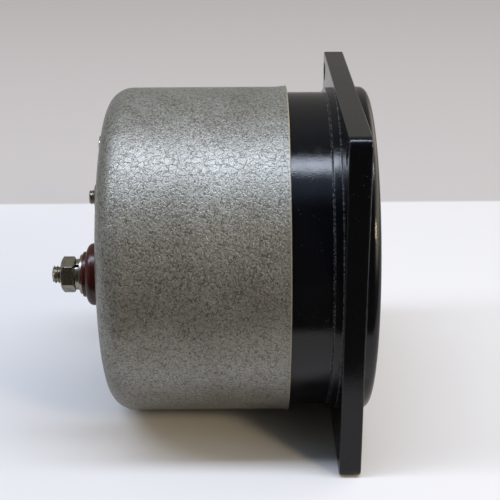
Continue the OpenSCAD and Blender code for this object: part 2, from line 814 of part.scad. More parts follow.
function unit(v) = v / norm(v);
function bezier(p, t) = pow(1 - t, 3) * p[0] + 3 * t * pow(1 - t, 2) * p[1]
    + 3 * t * t * (1 - t) * p[2] + pow(t, 3) * p[3];
function bezier_way(p, t) = unit(pow(1 - t, 2) * (p[1] - p[0])
    + 2 * t * (1 - t) * (p[2] - p[1]) + t * t * (p[3] - p[2]));
function lead_ring(p, t) = let (
        way = bezier_way(p, t),
        across = unit(cross(way, [0.2, 0.1, 1])),
        up = cross(way, across))
    [for (k = [0:lead_sides - 1]) bezier(p, t)
        + lead_r * (cos(360 * k / lead_sides) * across + sin(360 * k / lead_sides) * up)];

module lead(p) polyhedron(
    points = [for (i = [0:lead_rings - 1]) each lead_ring(p, i / (lead_rings - 1))],
    faces = concat(
        [[for (k = [0:lead_sides - 1]) k]],
        [[for (k = [lead_sides - 1:-1:0]) (lead_rings - 1) * lead_sides + k]],
        [for (i = [0:lead_rings - 2], k = [0:lead_sides - 1])
            let (a = i * lead_sides + k, b = i * lead_sides + (k + 1) % lead_sides)
            [a, a + lead_sides, b + lead_sides, b]]));

function tag_end(side) = [side * side_x, tag_y(side) - lead_r - 0.1, terminal_z - tag_hole_at];
pole_screw_top = plate_back + screw_m2_head[1] + lead_r + 0.1;

module lead_left() color("#7a1f1a") lead([tag_end(-1),
    [-side_x - 2, plate_back + 13, terminal_z - 8.4], [-8, plate_back + 11, pivot_z + 8],
    [-pole_mid_r * cos(post_deg), pole_screw_top, pivot_z + pole_mid_r * sin(post_deg)]]);

module lead_right() color("#1f1f22") lead([tag_end(1),
    [side_x + 2, plate_back + 17, terminal_z - 6.4], [14, plate_back + 13, bobbin_z - 8],
    [bobbin_r + lead_r + 0.1, plate_back + 2, bobbin_z]]);

module lead_link() color("#1f1f22") lead([
    [-2, plate_back + bobbin_len - 3, bobbin_z - bobbin_r],
    [-3, plate_back + 10, bobbin_z - 12], [-1, plate_back + 8, pivot_z],
    [1.6, rear_bridge_end + 1.8, pivot_z - 1]]);

housing();
window_glass();
glass_seal();
dial_plate();
dial_screws();
dial_pillars();
pointer_stops();
base_plate();
base_screws();
magnet();
pole_piece_left();
pole_piece_right();
pole_screws();
core();
core_bracket();
core_screws();
front_bridge();
rear_bridge();
bridge_screws();
front_jewel_screw();
rear_jewel_screw();
spring_anchor();
coil_former();
coil_winding();
front_shaft();
rear_shaft();
pointer();
balance_weights();
front_hairspring();
rear_hairspring();
zero_lever();
corrector_screw();
resistor_bobbin();
resistor_winding();
resistor_screw();
can_pillars();
can();
can_screws();
stud_left();
stud_right();
outer_bush_left();
outer_bush_right();
inner_bush_left();
inner_bush_right();
solder_tag_left();
solder_tag_right();
washer_left();
washer_right();
spring_washer();
nut_left();
nut_right();
lead_left();
lead_right();
lead_link();
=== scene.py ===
"""Analog panel meter: the finishes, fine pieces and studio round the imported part."""
import logging
import math
from collections.abc import Callable, Sequence
from dataclasses import dataclass, field
from enum import Enum
from functools import cache

import bmesh
import bpy
from mathutils import Matrix, Vector


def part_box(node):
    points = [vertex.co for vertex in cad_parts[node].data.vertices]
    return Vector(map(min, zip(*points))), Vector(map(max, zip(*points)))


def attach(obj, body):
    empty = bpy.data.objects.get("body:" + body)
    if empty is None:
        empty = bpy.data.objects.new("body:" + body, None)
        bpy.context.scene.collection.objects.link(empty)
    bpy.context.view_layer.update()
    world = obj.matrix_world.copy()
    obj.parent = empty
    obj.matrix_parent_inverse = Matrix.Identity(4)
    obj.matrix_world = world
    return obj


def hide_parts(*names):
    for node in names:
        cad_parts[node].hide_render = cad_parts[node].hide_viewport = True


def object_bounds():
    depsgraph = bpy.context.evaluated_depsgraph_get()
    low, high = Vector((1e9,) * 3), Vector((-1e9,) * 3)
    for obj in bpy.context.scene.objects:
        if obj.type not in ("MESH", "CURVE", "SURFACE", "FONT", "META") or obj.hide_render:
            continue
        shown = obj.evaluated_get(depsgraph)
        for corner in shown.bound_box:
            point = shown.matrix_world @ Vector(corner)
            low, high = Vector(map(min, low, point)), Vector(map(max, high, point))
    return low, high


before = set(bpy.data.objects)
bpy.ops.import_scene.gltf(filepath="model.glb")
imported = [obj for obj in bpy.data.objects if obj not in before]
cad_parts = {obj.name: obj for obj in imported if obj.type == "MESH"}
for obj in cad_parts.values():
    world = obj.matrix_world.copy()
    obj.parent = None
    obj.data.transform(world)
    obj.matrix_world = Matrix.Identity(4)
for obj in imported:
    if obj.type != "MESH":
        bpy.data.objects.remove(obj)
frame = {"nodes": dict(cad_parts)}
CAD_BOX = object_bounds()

logging.basicConfig(level=logging.INFO, format="%(message)s")
log = logging.getLogger("panel_meter")

BMesh = bmesh.types.BMesh
Edge = bmesh.types.BMEdge
Material = bpy.types.Material
Node = bpy.types.Node
Socket = bpy.types.NodeSocket
Tree = bpy.types.NodeTree
Place = tuple[float, float, float]
Value = float | str | Sequence[float] | Socket | Node
Inputs = Sequence[Value] | dict[str, Value]

MM = 0.001
TOUCH = 1e-6
ROUND = 192
SMALL_ROUND = 64
HOLE_ROUND = 48
EDGE_STEPS = 3
CURVE_STEPS = 8
SHARP_ANGLE = math.radians(32)
SQUARE_ANGLE = math.radians(50)
ACROSS = Matrix.Rotation(math.pi / 2, 4, "X")
METER = "meter"


class Side(Enum):
    """The two terminals, as their sign along X."""

    LEFT = -1
    RIGHT = 1


def srgb(code: str) -> tuple[float, float, float, float]:
    """Turns an sRGB hex colour to linear.

    Args:
        code: the colour, such as "#8b8d88".

    Returns:
        The linear colour with full alpha.
    """
    parts = [int(code[i : i + 2], 16) / 255 for i in (1, 3, 5)]
    line = [c / 12.92 if c <= 0.04045 else ((c + 0.055) / 1.055) ** 2.4 for c in parts]
    return (line[0], line[1], line[2], 1.0)


def per_metre(size_mm: float) -> float:
    """Gives the texture scale at which a pattern repeats every size_mm."""
    return 1 / (size_mm * MM)


def add(tree: Tree, kind: str, inputs: Inputs = (), **settings: str | int) -> Node:
    """Adds a node with its settings and links.

    Args:
        tree: the node tree.
        kind: the node's type, without "ShaderNode".
        inputs: values by socket name, or in the order of the sockets in use. A socket is
            linked, a node stands for its first output in use, and a colour is sRGB hex.
        settings: the node's own properties.

    Returns:
        The new node.
    """
    node = tree.nodes.new("ShaderNode" + kind)
    for name, value in settings.items():
        setattr(node, name, value)
    if not isinstance(inputs, dict):
        in_use = [index for index, socket in enumerate(node.inputs) if socket.enabled]
        inputs = dict(zip(in_use, inputs))
    for key, value in inputs.items():
        if isinstance(value, Node):
            value = next(output for output in value.outputs if output.enabled)
        if isinstance(value, Socket):
            tree.links.new(value, node.inputs[key])
        else:
            node.inputs[key].default_value = srgb(value) if isinstance(value, str) else value
    return node


@dataclass(frozen=True)
class Finish:
    """A surface finish: its name, the record's slot, and its plain shader values."""

    name: str
    slot: str
    colour: str
    roughness: float = 0.5
    metallic: float = 0.0
    ior: float = 1.5

    @cache
    def build(self) -> Material:
        """Makes the material the first time that it is asked for, with its pattern.

        Returns:
            The material.
        """
        material = bpy.data.materials.new(self.name)
        material.use_nodes = True
        tree = material.node_tree
        tree.nodes.clear()
        plain = {"Base Color": self.colour, "Roughness": self.roughness,
                 "Metallic": self.metallic, "IOR": self.ior}
        laid = self.pattern(tree, add(tree, "TexCoord").outputs["Object"])
        add(tree, "OutputMaterial", {"Surface": add(tree, "BsdfPrincipled", plain | laid)})
        return material

    def pattern(self, tree: Tree, place: Socket) -> dict[str, Value]:
        """Lays the finish's pattern. A plain finish has none.

        Args:
            tree: the node tree.
            place: the Object coordinates.

        Returns:
            What the shader takes.
        """
        return {}


@dataclass(frozen=True)
class HammertoneEnamel(Finish):
    """Stoved hammertone enamel: leafing aluminium in grey lacquer.

    Silicone in the wet paint pulls it into small cells with a dark line between them, so
    the eye sees silver flecks, broken dark veins and pits, and a broad sparkling light.
    A real flake of about 0.05 mm wouldn't show, so flakes are drawn nine times as coarse.
    """

    cell_mm: float = 1.5
    bend_mm: float = 1.4
    bend_by: float = 2.8 * MM
    break_mm: float = 0.9
    fleck_mm: float = 0.42
    flake_mm: float = 0.45
    cloud_mm: float = 8.0
    pit_mm: float = 3.4
    relief: float = 0.09 * MM
    coat: float = 0.3
    coat_roughness: float = 0.18
    light: str = "#b3b4af"
    vein: str = "#4a473c"
    # Painted shade for the pits
    pit_shade: str = "#1d1b18"
    # A paler line runs round the can just behind its rim
    paled_tone: str = "#b5ad98"
    rim_y: float = 11.0 * MM
    rim_line_w: float = 0.45 * MM

    def pattern(self, tree: Tree, place: Socket) -> dict[str, Value]:
        """Lays the cells, their veins, painted shade in the pits and a paler line along the rim.

        Args:
            tree: the node tree.
            place: the Object coordinates.

        Returns:
            What the shader takes.
        """
        drift = add(tree, "TexNoise", (place, per_metre(self.bend_mm), 3.0))
        bent = add(tree, "VectorMath", (drift.outputs["Color"], [self.bend_by] * 3, place),
                   operation="MULTIPLY_ADD")
        border = add(tree, "TexVoronoi", (bent, per_metre(self.cell_mm)),
                     feature="DISTANCE_TO_EDGE")
        breaks, flecks, flake, cloud = (
            add(tree, "TexNoise", (at, per_metre(size), detail)) for at, size, detail in (
                (bent, self.break_mm, 1.0), (place, self.fleck_mm, 2.0),
                (place, self.flake_mm, 6.0), (place, self.cloud_mm, 3.0)))
        pits = add(tree, "TexVoronoi", (place, per_metre(self.pit_mm)), feature="F1")
        line = add(tree, "Math", (add(tree, "MapRange", (border, 0.02, 0.08, 0.7, 0.0)),
                                  add(tree, "MapRange", (breaks, 0.43, 0.53))),
                   operation="MULTIPLY")
        vein = add(tree, "Math", (line, add(tree, "MapRange", (flecks, 0.60, 0.66, 0.0, 0.7))),
                   operation="MAXIMUM")
        cloudy = add(tree, "Math", (cloud, 0.4), operation="MULTIPLY")
        mixed = add(tree, "Math", (flake, 1.1, cloudy), operation="MULTIPLY_ADD")
        along = add(tree, "SeparateXYZ", (place,)).outputs["Y"]
        # A paler band a little behind the rim, all round the can
        rim = add(tree, "MapRange", (along, self.rim_y + self.rim_line_w / 3,
                                     self.rim_y + self.rim_line_w, 0.8, 0.0))
        colour = self.colour
        # Random flecks, the veins, painted shade in the pits, then the paler line behind the rim
        for amount, over in ((add(tree, "MapRange", (mixed, 0.48, 1.02)), self.light),
                             (vein, self.vein),
                             (add(tree, "MapRange", (pits, 0.03, 0.075, 0.9, 0.0)), self.pit_shade),
                             (rim, self.paled_tone)):
            colour = add(tree, "Mix", (amount, colour, over), data_type="RGBA")
        cells = add(tree, "MapRange", (border, 0.0, 0.16, 0.0, 0.4))
        swell = add(tree, "Math", (flake, 0.6, cells), operation="MULTIPLY_ADD")
        dent = add(tree, "MapRange", (pits, 0.03, 0.075, 0.5, 0.0))
        height = add(tree, "Math", (swell, dent), operation="SUBTRACT")
        bump = add(tree, "Bump", {"Height": height, "Strength": 0.8, "Distance": self.relief})
        return {
            "Base Color": colour, "Normal": bump, "Coat Normal": bump,
            "Roughness": add(tree, "MapRange", (flake, 0.3, 0.7, self.roughness - 0.08,
                                                self.roughness + 0.08)),
            "Coat Weight": self.coat, "Coat Roughness": self.coat_roughness}


@dataclass(frozen=True)
class Phenolic(Finish):
    """Compression-moulded phenolic: glossy, with dust, rubs and paler worn edges."""

    dust: str = "#9aa0a6"
    dust_amount: float = 0.3
    dust_mm: float = 0.9
    drift_mm: float = 6.0
    wear: str = "#565a60"
    wear_mm: float = 1.1
    worn_edge: float = 0.35 * MM
    smear_mm: float = 3.0
    grain_mm: float = 0.35
    ripple_mm: float = 4.0
    ripple: float = 0.14
    relief: float = 0.2 * MM
    gloss: float = 0.42
    seams: tuple[tuple[float, float], ...] = ()
    seam_dust_mm: float = 0.4
    seam_w: float = 0.28 * MM

    def pattern(self, tree: Tree, place: Socket) -> dict[str, Value]:
        """Lays worn edges, dust, rubs, lint in the seams and the mould's faint ripple.

        Args:
            tree: the node tree.
            place: the Object coordinates.

        Returns:
            What the shader takes.
        """
        normal = add(tree, "NewGeometry").outputs["Normal"]
        rounded = add(tree, "Bevel", {"Radius": self.worn_edge}, samples=4)
        same = add(tree, "VectorMath", (normal, rounded), operation="DOT_PRODUCT")
        rubs = add(tree, "TexNoise", (place, per_metre(self.wear_mm), 4.0))
        worn = add(tree, "Math", (add(tree, "MapRange", (same, 0.995, 0.90)),
                                  add(tree, "MapRange", (rubs, 0.40, 0.62, 0.0, 0.7))),
                   operation="MULTIPLY")
        specks = add(tree, "TexVoronoi", (place, per_metre(self.dust_mm)), feature="F1")
        drifts = add(tree, "TexNoise", (place, per_metre(self.drift_mm), 3.0))
        dusty = add(tree, "Math", (
            add(tree, "MapRange", (specks, 0.05, 0.11, 1.0, 0.0)),
            add(tree, "MapRange", (drifts, 0.48, 0.66, 0.0, self.dust_amount))),
            operation="MULTIPLY")
        flat = add(tree, "VectorMath", (place, (1.0, 0.0, 1.0)), operation="MULTIPLY")
        radius = add(tree, "VectorMath", (flat,), operation="LENGTH")
        along = add(tree, "SeparateXYZ", (place,)).outputs["Y"]
        lint = add(tree, "TexNoise", (place, per_metre(self.seam_dust_mm), 3.0))
        speckled = add(tree, "MapRange", (lint, 0.50, 0.64, 0.0, 0.42))
        for seam in self.seams:
            off = [add(tree, "Math", (add(tree, "Math", (at, line), operation="SUBTRACT"),),
                       operation="ABSOLUTE") for at, line in zip((radius, along), seam)]
            away = add(tree, "Math", off, operation="MAXIMUM")
            near = add(tree, "MapRange", (away, 0.1 * MM, self.seam_w, 1.0, 0.0))
            lodged = add(tree, "Math", (near, speckled), operation="MULTIPLY")
            dusty = add(tree, "Math", (dusty, lodged), operation="MAXIMUM")
        paled_tone = add(tree, "Mix", (worn, self.colour, self.wear), data_type="RGBA")
        colour = add(tree, "Mix", (dusty, paled_tone, self.dust), data_type="RGBA")
        smears = add(tree, "TexNoise", (place, per_metre(self.smear_mm), 4.0))
        smear = add(tree, "MapRange", (smears, 0.40, 0.70, self.roughness, self.roughness + 0.07))
        grain = add(tree, "TexNoise", (place, per_metre(self.grain_mm), 2.0))
        broad = add(tree, "TexNoise", (place, per_metre(self.ripple_mm), 1.0))
        height = add(tree, "Math", (grain, 0.8, broad), operation="MULTIPLY_ADD")
        return {
            "Base Color": colour, "Specular IOR Level": self.gloss,
            "Roughness": add(tree, "Math", (dusty, 1.2, smear), operation="MULTIPLY_ADD"),
            "Normal": add(tree, "Bump", {"Height": height, "Strength": self.ripple,
                                         "Distance": self.relief, "Normal": rounded})}


@dataclass(frozen=True)
class Metal(Finish):
    """A worked metal: fine tool marks, a dull bloom and rounded edges.

    Real tool marks are about 0.2 mm apart or less. They are drawn four times as coarse,
    so that they still show as a faint streak in the light.
    """

    mark_mm: float = 0.72
    bloom: str = "#6b655a"
    bloom_amount: float = 0.5
    bloom_mm: float = 1.6
    along: Place = (1.0, 6.0, 1.0)
    edge_r: float = 0.12 * MM
    relief: float = 0.06 * MM

    def pattern(self, tree: Tree, place: Socket) -> dict[str, Value]:
        """Lays the tool marks and the bloom.

        Args:
            tree: the node tree.
            place: the Object coordinates.

        Returns:
            What the shader takes.
        """
        drawn = add(tree, "Mapping", {"Vector": place, "Scale": self.along})
        marks = add(tree, "TexNoise", (drawn, per_metre(self.mark_mm), 3.0))
        patches = add(tree, "TexNoise", (place, per_metre(self.bloom_mm), 4.0))
        dull = add(tree, "MapRange", (patches, 0.42, 0.68, 0.0, self.bloom_amount))
        streaks = add(tree, "MapRange", (marks, 0.3, 0.7, self.roughness - 0.05,
                                         self.roughness + 0.10))
        rounded = add(tree, "Bevel", {"Radius": self.edge_r}, samples=4)
        return {
            "Base Color": add(tree, "Mix", (dull, self.colour, self.bloom),
                              data_type="RGBA"),
            "Roughness": add(tree, "Math", (dull, 0.15, streaks), operation="MULTIPLY_ADD"),
            "Normal": add(tree, "Bump", {"Height": marks, "Strength": 0.12,
                                         "Distance": self.relief, "Normal": rounded})}


@dataclass(frozen=True)
class WoundWire(Finish):
    """Enamelled copper wire laid in close turns across the Y axis."""

    wire_mm: float = 0.22
    # Painted shade between the turns
    gap_shade: str = "#2c1208"
    relief: float = 0.1 * MM

    def pattern(self, tree: Tree, place: Socket) -> dict[str, Value]:
        """Lays the turns as a round profile, with painted shade in the gaps between them.

        Args:
            tree: the node tree.
            place: the Object coordinates.

        Returns:
            What the shader takes.
        """
        # A wave texture repeats 20 times in each unit of its scale
        wave = add(tree, "TexWave", (place, per_metre(self.wire_mm) / 20, 0.4, 1.0),
                   bands_direction="Y").outputs["Fac"]
        # Painted shade darkens the gaps between the turns
        crown = add(tree, "MapRange", (wave, 0.0, 0.45))
        return {
            "Base Color": add(tree, "Mix", (crown, self.gap_shade, self.colour),
                              data_type="RGBA"),
            "Normal": add(tree, "Bump", {"Height": wave, "Strength": 0.6,
                                         "Distance": self.relief})}


@dataclass(frozen=True)
class Enamel(Finish):
    """Sprayed matt enamel with a faint orange peel and age spots."""

    aged: str = "#cfc4a6"
    aged_amount: float = 0.4
    aged_mm: float = 14.0
    grain_mm: float = 0.3
    relief: float = 0.04 * MM

    def pattern(self, tree: Tree, place: Socket) -> dict[str, Value]:
        """Lays the ageing and the orange peel.

        Args:
            tree: the node tree.
            place: the Object coordinates.

        Returns:
            What the shader takes.
        """
        spots = add(tree, "TexNoise", (place, per_metre(self.aged_mm), 4.0))
        age = add(tree, "MapRange", (spots, 0.42, 0.75, 0.0, self.aged_amount))
        peel = add(tree, "TexNoise", (place, per_metre(self.grain_mm), 2.0))
        return {
            "Base Color": add(tree, "Mix", (age, self.colour, self.aged),
                              data_type="RGBA"),
            "Roughness": add(tree, "MapRange", (peel, 0.3, 0.7, self.roughness - 0.05,
                                                self.roughness + 0.05)),
            "Normal": add(tree, "Bump", {"Height": peel, "Strength": 0.08,
                                         "Distance": self.relief})}


@dataclass(frozen=True)
class WindowGlass(Finish):
    """Drawn sheet glass, clear, with a trace of dust on it."""

    haze_mm: float = 9.0

    def pattern(self, tree: Tree, place: Socket) -> dict[str, Value]:
        """Makes the glass clear, with a faintly uneven face.

        Args:
            tree: the node tree.
            place: the Object coordinates.

        Returns:
            What the shader takes.
        """
        haze = add(tree, "TexNoise", (place, per_metre(self.haze_mm), 4.0))
        return {
            "Transmission Weight": 1.0,
            "Roughness": add(tree, "MapRange", (haze, 0.45, 0.8, self.roughness,
                                                self.roughness + 0.05))}


@dataclass(frozen=True)
class PaintedTable(Finish):
    """Satin white paint on the table, which turns to a pale grey behind the meter.

    For light that bounces off it, the table ends a little in front of the meter and the
    room beyond that edge is dark, so that the gloss has something to show.
    """

    gloss: float = 0.2
    backdrop_x: float = 0.139
    edge_x: float = -0.083
    backdrop: str = "#c8c4c2"
    lit: str = "#c0bebd"
    past_edge: str = "#2c2418"

    def pattern(self, tree: Tree, place: Socket) -> dict[str, Value]:
        """Lays what the camera sees, and what other light meets.

        Args:
            tree: the node tree.
            place: the Object coordinates.

        Returns:
            What the shader takes.
        """
        across = add(tree, "SeparateXYZ", (place,)).outputs["X"]
        seen, bounced = (
            add(tree, "Mix", (add(tree, "MapRange", (across, line - blur, line + blur)),
                              near, far), data_type="RGBA")
            for line, blur, near, far in ((self.backdrop_x, 0.001, self.colour, self.backdrop),
                                          (self.edge_x, 0.002, self.past_edge, self.lit)))
        camera = add(tree, "LightPath").outputs["Is Camera Ray"]
        return {"Base Color": add(tree, "Mix", (camera, bounced, seen), data_type="RGBA"),
                "Specular IOR Level": self.gloss}


# Black phenolic, pressed in a polished mould: deep, with cool sharp highlights
PHENOLIC = Phenolic("black_phenolic", "phenolic_black", "#0b0d13", 0.10, ior=1.55,
                    seams=((37.9 * MM, 2.0 * MM), (39.0 * MM, 2.0 * MM), (39.0 * MM, 0.0)))
# Hammertone enamel, stoved on steel: silvery grey, broken by dark veins
HAMMERTONE = HammertoneEnamel("hammertone_enamel", "hammertone", "#7b7a72", 0.42, 0.6)
# Red-brown phenolic, pressed and barrelled: a softer gloss, paler where rubbed
BUSH_PHENOLIC = Phenolic("brown_phenolic", "phenolic_brown", "#461510", 0.25, ior=1.55,
                         dust="#8a6a5c", wear="#7c4a3c", ripple=0.2, gloss=0.5)
# Dull nickel plate on turned brass: warm grey, with a yellowish bloom
NICKEL = Metal("nickel_plate", "nickel", "#b5b1a4", 0.24, 1.0)
# Bright turned steel: neutral, with a faint grey bloom
STEEL = Metal("bright_steel", "steel", "#a8a8a6", 0.32, 1.0, bloom="#5c5a55")
# Turned brass: yellow, browned where it was handled
BRASS = Metal("turned_brass", "brass", "#b89550", 0.30, 1.0, bloom="#6e5426")
# Rolled aluminium strip: pale and cool, with soft streaks
ALUMINIUM = Metal("rolled_aluminium", "aluminium", "#c4c6c8", 0.35, 1.0, bloom="#8a8c8e")
# Rolled phosphor bronze strip: a redder yellow than brass
BRONZE = Metal("rolled_bronze", "spring_bronze", "#c09a5a", 0.30, 1.0, bloom="#80602c")
# Cast magnet alloy, ground: dark grey and dull
MAGNET = Metal("ground_magnet_alloy", "magnet_alloy", "#5f6063", 0.5, 0.9, bloom="#38383a",
               bloom_amount=0.6)
# Enamelled copper wire, wound: red-brown lines with painted shade in the gaps
COPPER = WoundWire("enamelled_copper_wire", "copper", "#a4562a", 0.32, 0.8)
# Matt ivory enamel, sprayed: warm, even and slightly yellowed
DIAL = Enamel("ivory_dial_enamel", "dial_paint", "#f8f3e6", 0.5, aged="#e8dec4", aged_amount=0.3)
# Black printing ink: flat, without depth
INK = Enamel("black_dial_ink", "dial_paint", "#141414", 0.6, aged="#2a2622")
# Matt black paint, dipped on aluminium: a dark line with no glint
POINTER = Enamel("black_pointer_paint", "pointer_black", "#111113", 0.5, aged="#1d1d20")
# Black sealing compound, poured and set: dull and a little lumpy
SEAL = Enamel("black_sealing_compound", "seal", "#1d1c1b", 0.75, aged="#2b2825", grain_mm=0.8)
# Varnished red cotton sleeving: an even red with a soft light
RED_SLEEVE = Enamel("red_sleeve", "lead_red", "#8c1f18", 0.45, aged="#6f1a16")
# Varnished black cotton sleeving: an even dark grey
BLACK_SLEEVE = Enamel("black_sleeve", "lead_black", "#18181a", 0.45, aged="#26262a")
# Drawn sheet glass: clear, seen only by what it reflects
GLASS = WindowGlass("window_glass", "window", "#fbfcfb", 0.01, ior=1.52)
# Satin white paint, rolled on board: bright, with hardly any shine
TABLE = PaintedTable("painted_table", "stage", "#e8e8e9", 0.7)

CAD_FINISHES: dict[Finish, tuple[str, ...]] = {
    PHENOLIC: ("corrector_screw",),
    GLASS: ("window_glass",),
    SEAL: ("glass_seal",),
    DIAL: ("dial_plate",),
    STEEL: ("dial_screws", "base_screws", "pole_screws", "core_screws", "bridge_screws",
            "resistor_screw", "front_shaft", "rear_shaft", "pole_piece_left",
            "pole_piece_right", "core"),
    BRASS: ("dial_pillars", "core_bracket", "front_bridge", "rear_bridge",
            "front_jewel_screw", "rear_jewel_screw", "spring_anchor", "balance_weights",
            "zero_lever", "can_pillars"),
    BUSH_PHENOLIC: ("base_plate", "resistor_bobbin", "inner_bush_left",
                    "inner_bush_right"),
    NICKEL: ("solder_tag_left", "solder_tag_right"),
    MAGNET: ("magnet",),
    ALUMINIUM: ("coil_former",),
    COPPER: ("coil_winding", "resistor_winding"),
    POINTER: ("pointer", "pointer_stops"),
    BRONZE: ("front_hairspring", "rear_hairspring"),
    RED_SLEEVE: ("lead_left",),
    BLACK_SLEEVE: ("lead_right", "lead_link"),
}


def radius_of(vert: bmesh.types.BMVert) -> float:
    """Gives a vertex's distance from the meter's axis."""
    return math.hypot(vert.co.x, vert.co.z)


def spun(profile: list[tuple[float, float]], steps: int = ROUND) -> BMesh:
    """Spins a closed outline about the meter's axis.

    Args:
        profile: the outline's corners, as radius and place along Y.
        steps: the steps in a full turn.

    Returns:
        The closed ring as a bmesh.
    """
    mesh = bmesh.new()
    verts = [mesh.verts.new((radius, y, 0)) for radius, y in profile]
    for first, second in zip(verts, verts[1:] + verts[:1]):
        mesh.edges.new((first, second))
    bmesh.ops.spin(mesh, geom=mesh.verts[:] + mesh.edges[:], axis=(0, 1, 0),
                   angle=2 * math.pi, steps=steps, use_merge=True)
    bmesh.ops.remove_doubles(mesh, verts=mesh.verts, dist=TOUCH / 10)
    bmesh.ops.recalc_face_normals(mesh, faces=mesh.faces)
    return mesh


def ease(mesh: BMesh, edges: list[Edge], width: float, segments: int = EDGE_STEPS) -> None:
    """Rounds the listed edges.

    Args:
        mesh: the bmesh.
        edges: the edges to round.
        width: the rounding's size.
        segments: the steps in the rounding.
    """
    bmesh.ops.bevel(mesh, geom=edges, offset=width, affect="EDGES", segments=segments,
                    profile=0.5, material=-1, clamp_overlap=True)


def round_rings(mesh: BMesh, rings: list[Place], segments: int = EDGE_STEPS) -> None:
    """Rounds circular edges of a spun mesh.

    Args:
        mesh: the bmesh.
        rings: each edge's radius, place along Y and rounding.
        segments: the steps in each rounding.
    """
    for radius, y, rounding in rings:
        ease(mesh, [e for e in mesh.edges if all(
            abs(radius_of(v) - radius) < 2 * TOUCH and abs(v.co.y - y) < 2 * TOUCH
            for v in e.verts)], rounding, segments)


def closed_loop(mesh: BMesh, size: float, segments: int, x: float = 0, z: float = 0) -> None:
    """Draws an open circle in the X-Z plane.

    Args:
        mesh: the bmesh.
        size: the circle's radius.
        segments: the steps in it.
        x: its centre along X.
        z: its centre along Z.
    """
    bmesh.ops.create_circle(mesh, radius=size, segments=segments,
                            matrix=Matrix.Translation((x, 0, z)) @ ACROSS)


def thicken(mesh: BMesh, by: float) -> None:
    """Gives flat faces their thickness.

    Args:
        mesh: the bmesh.
        by: the thickness along Y, with its sign.
    """
    grown = bmesh.ops.extrude_face_region(mesh, geom=mesh.faces[:])["geom"]
    moved = [g for g in grown if isinstance(g, bmesh.types.BMVert)]
    bmesh.ops.translate(mesh, verts=moved, vec=(0, by, 0))
    bmesh.ops.recalc_face_normals(mesh, faces=mesh.faces)


def filled_slab(mesh: BMesh, y0: float, y1: float) -> None:
    """Fills the drawn outlines, with their holes, and gives the plate its thickness.

    Args:
        mesh: the bmesh with the outlines at Y = 0.
        y0: the plate's first face along Y.
        y1: its second face.
    """
    bmesh.ops.triangle_fill(mesh, use_beauty=True, use_dissolve=False, edges=mesh.edges[:])
    thicken(mesh, y1 - y0)
    bmesh.ops.translate(mesh, verts=mesh.verts, vec=(0, y0, 0))


def cut_flat(mesh: BMesh, z: float, side: int) -> None:
    """Cuts a flat mesh along a level line.

    Args:
        mesh: the bmesh.
        z: the line's height.
        side: 1 to cut away what is above the line, or -1 for what is below it.
    """
    bmesh.ops.bisect_plane(mesh, geom=mesh.verts[:] + mesh.edges[:] + mesh.faces[:],
                           plane_co=(0, 0, z), plane_no=(0, 0, side), clear_outer=True)


def sharp_edges(mesh: BMesh, keep: Callable[[Edge], bool] = lambda edge: True) -> list[Edge]:
    """Lists the square edges that a test keeps.

    Args:
        mesh: the bmesh.
        keep: the test.

    Returns:
        The edges.
    """
    return [e for e in mesh.edges if len(e.link_faces) == 2
            and e.calc_face_angle(0) > SQUARE_ANGLE and keep(e)]


def joined(meshes: list[BMesh]) -> BMesh:
    """Gathers several bmeshes into one.

    Args:
        meshes: the bmeshes, which are used up.

    Returns:
        The whole as a bmesh.
    """
    whole = bmesh.new()
    for mesh in meshes:
        held = bpy.data.meshes.new("held")
        mesh.to_mesh(held)
        mesh.free()
        whole.from_mesh(held)
        bpy.data.meshes.remove(held)
    return whole


class Workshop:
    """Dresses the CAD nodes and turns finished bmeshes into the meter's pieces."""

    def dress_cad(self, nodes: dict[str, bpy.types.Object]) -> None:
        """Puts each finish on the CAD nodes that wear it.

        Args:
            nodes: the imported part's objects by name.
        """
        for finish, names in CAD_FINISHES.items():
            for name in names:
                slots = nodes[name].data.materials
                slots.clear()
                slots.append(finish.build())
                log.info("dressed %s in %s", name, finish.name)

    def piece(self, name: str, mesh: BMesh, finish: Finish,
              stands_for: tuple[str, ...] = ()) -> None:
        """Makes one piece at the origin, on the meter's fixed body.

        Args:
            name: the piece's name.
            mesh: its bmesh, which is used up.
            finish: its finish.
            stands_for: the CAD nodes that it replaces.
        """
        for face in mesh.faces:
            face.smooth = True
        for edge in mesh.edges:
            edge.smooth = not edge.is_manifold or edge.calc_face_angle(0) < SHARP_ANGLE
        data = bpy.data.meshes.new(name)
        mesh.to_mesh(data)
        mesh.free()
        data.materials.append(finish.build())
        piece = bpy.data.objects.new(name, data)
        bpy.context.scene.collection.objects.link(piece)
        # Large flat faces keep a flat shade beside their rounded edges
        even = piece.modifiers.new("even_shading", "WEIGHTED_NORMAL")
        even.keep_sharp = True
        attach(piece, METER)
        if stands_for:
            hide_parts(*stands_for)
        log.info("made %s, %d faces", name, len(data.polygons))


